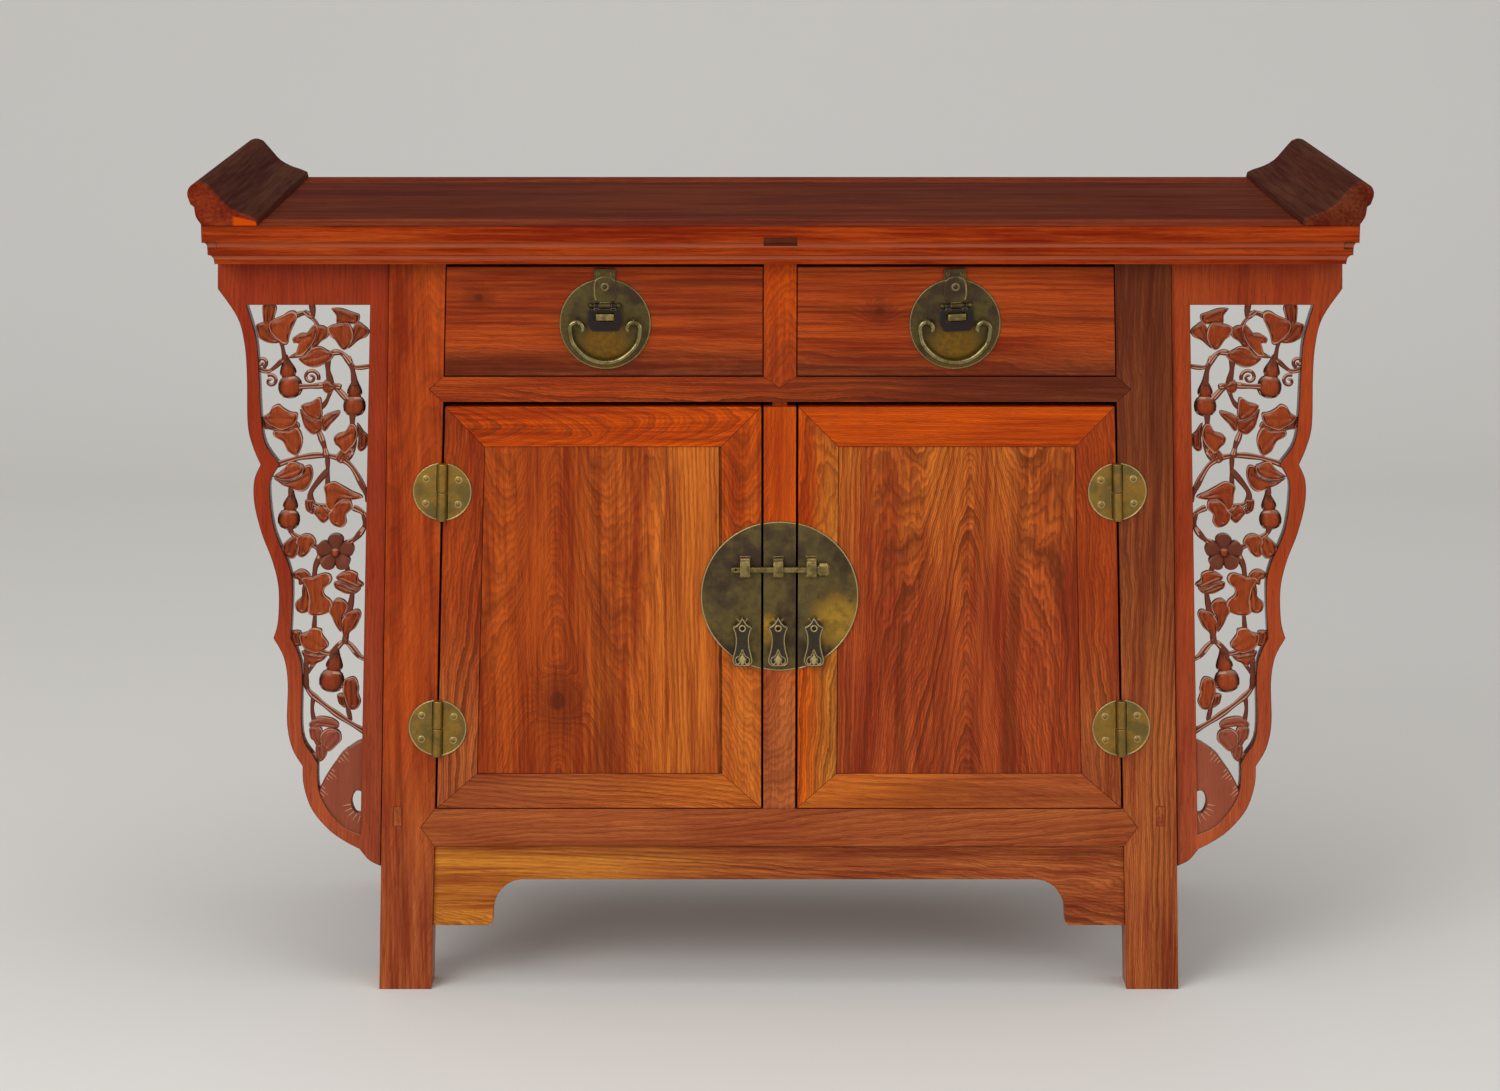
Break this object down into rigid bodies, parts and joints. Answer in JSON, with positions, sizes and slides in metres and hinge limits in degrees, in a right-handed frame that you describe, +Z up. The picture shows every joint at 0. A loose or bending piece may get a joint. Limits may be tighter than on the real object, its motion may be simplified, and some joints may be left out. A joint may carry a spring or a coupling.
{
  "type": "altar cabinet",
  "caption": "Splay-legged altar cabinet with everted top flanges, drawers over doors, long openwork gourd-vine spandrels and brass fittings.",
  "frame": {"origin": "on the floor, below the middle of the top", "axes": "X to the viewer's right along the front, Y from the front to the back, Z up"},
  "size_m": [1.2486, 0.45, 0.9053],
  "materials": {
    "dark_hardwood": "gloss",
    "red_hardwood": "gloss",
    "figured_hardwood": "gloss",
    "carved_hardwood": "gloss",
    "plain_inner_wood": "matte",
    "aged_brass": "aged",
    "worn_brass": "satin"
  },
  "bodies": {
    "frame": {"top_panel": "dark_hardwood", "top_rail_front": "red_hardwood", "top_rail_back": "red_hardwood", "top_end_left": "dark_hardwood", "top_end_right": "dark_hardwood", "top_batten": "dark_hardwood", "leg_front_left": "red_hardwood", "leg_front_right": "red_hardwood", "leg_back_left": "red_hardwood", "leg_back_right": "red_hardwood", "waist_rail": "red_hardwood", "base_rail": "red_hardwood", "back_rail": "red_hardwood", "drawer_post": "red_hardwood", "door_post": "red_hardwood", "front_apron": "figured_hardwood", "side_rail_left": "red_hardwood", "side_rail_right": "red_hardwood", "side_panel_left": "figured_hardwood", "side_panel_right": "figured_hardwood", "back_panel": "plain_inner_wood", "floor_panel": "plain_inner_wood", "drawer_deck": "plain_inner_wood", "spandrel_left": "carved_hardwood", "spandrel_right": "carved_hardwood", "lock_plate_post": "aged_brass", "hinge_upper_left_leg_leaf": "aged_brass", "hinge_lower_left_leg_leaf": "aged_brass", "hinge_upper_right_leg_leaf": "aged_brass", "hinge_lower_right_leg_leaf": "aged_brass"},
    "door_left": {"door_left_hinge_stile": "red_hardwood", "door_left_lock_stile": "red_hardwood", "door_left_top_rail": "red_hardwood", "door_left_bottom_rail": "red_hardwood", "door_left_panel": "figured_hardwood", "lock_plate_left": "aged_brass", "hinge_upper_left_door_leaf": "aged_brass", "hinge_lower_left_door_leaf": "aged_brass"},
    "door_right": {"door_right_hinge_stile": "red_hardwood", "door_right_lock_stile": "red_hardwood", "door_right_top_rail": "red_hardwood", "door_right_bottom_rail": "red_hardwood", "door_right_panel": "figured_hardwood", "lock_plate_right": "aged_brass", "hinge_upper_right_door_leaf": "aged_brass", "hinge_lower_right_door_leaf": "aged_brass"},
    "drawer_left": {"drawer_left_front": "figured_hardwood", "drawer_left_box": "plain_inner_wood", "drawer_plate_left": "aged_brass"},
    "drawer_right": {"drawer_right_front": "figured_hardwood", "drawer_right_box": "plain_inner_wood", "drawer_plate_right": "aged_brass"},
    "bail_left": {"drawer_bail_left": "worn_brass"},
    "bail_right": {"drawer_bail_right": "worn_brass"},
    "hasp_left": {"drawer_hasp_left": "aged_brass"},
    "hasp_right": {"drawer_hasp_right": "aged_brass"},
    "hanging_pull_left": {"pendant_left": "worn_brass"},
    "hanging_pull_post": {"pendant_post": "worn_brass"},
    "hanging_pull_right": {"pendant_right": "worn_brass"},
    "bar": {"lock_bar": "worn_brass"}
  },
  "joints": [
    {"name": "door_left_hinge", "type": "hinge", "parent": "frame", "child": "door_left", "pos_m": [-0.36499, -0.195, 0.567], "axis": [-0.0384, 0, -0.9993], "range_deg": [0, 110]},
    {"name": "door_right_hinge", "type": "hinge", "parent": "frame", "child": "door_right", "pos_m": [0.36499, -0.195, 0.567], "axis": [-0.0384, 0, 0.9993], "range_deg": [0, 110]},
    {"name": "drawer_left_slide", "type": "slide", "parent": "frame", "child": "drawer_left", "axis": [0, -1, 0], "range_m": [0, 0.3]},
    {"name": "drawer_right_slide", "type": "slide", "parent": "frame", "child": "drawer_right", "axis": [0, -1, 0], "range_m": [0, 0.3]},
    {"name": "bail_left_pivot", "type": "hinge", "parent": "drawer_left", "child": "bail_left", "pos_m": [-0.18717, -0.1981, 0.75345], "axis": [-1, 0, 0], "range_deg": [0, 95]},
    {"name": "bail_right_pivot", "type": "hinge", "parent": "drawer_right", "child": "bail_right", "pos_m": [0.18717, -0.1981, 0.75345], "axis": [-1, 0, 0], "range_deg": [0, 95]},
    {"name": "hasp_left_pivot", "type": "hinge", "parent": "drawer_left", "child": "hasp_left", "pos_m": [-0.18717, -0.1948, 0.7707], "axis": [-1, 0, 0], "range_deg": [0, 100]},
    {"name": "hasp_right_pivot", "type": "hinge", "parent": "drawer_right", "child": "hasp_right", "pos_m": [0.18821, -0.1948, 0.77073], "axis": [-0.9986, 0, -0.0523], "range_deg": [0, 100]},
    {"name": "pull_left_pivot", "type": "hinge", "parent": "door_left", "child": "hanging_pull_left", "pos_m": [-0.0405, -0.1965, 0.4245], "axis": [-1, 0, 0], "range_deg": [0, 75]},
    {"name": "pull_post_pivot", "type": "hinge", "parent": "frame", "child": "hanging_pull_post", "pos_m": [-0.0015, -0.1965, 0.4245], "axis": [-1, 0, 0], "range_deg": [0, 75]},
    {"name": "pull_right_pivot", "type": "hinge", "parent": "door_right", "child": "hanging_pull_right", "pos_m": [0.0375, -0.1965, 0.4245], "axis": [-1, 0, 0], "range_deg": [0, 75]},
    {"name": "lock_bar_slide", "type": "slide", "parent": "frame", "child": "bar", "axis": [1, 0, 0], "range_m": [0, 0.105]}
  ]
}
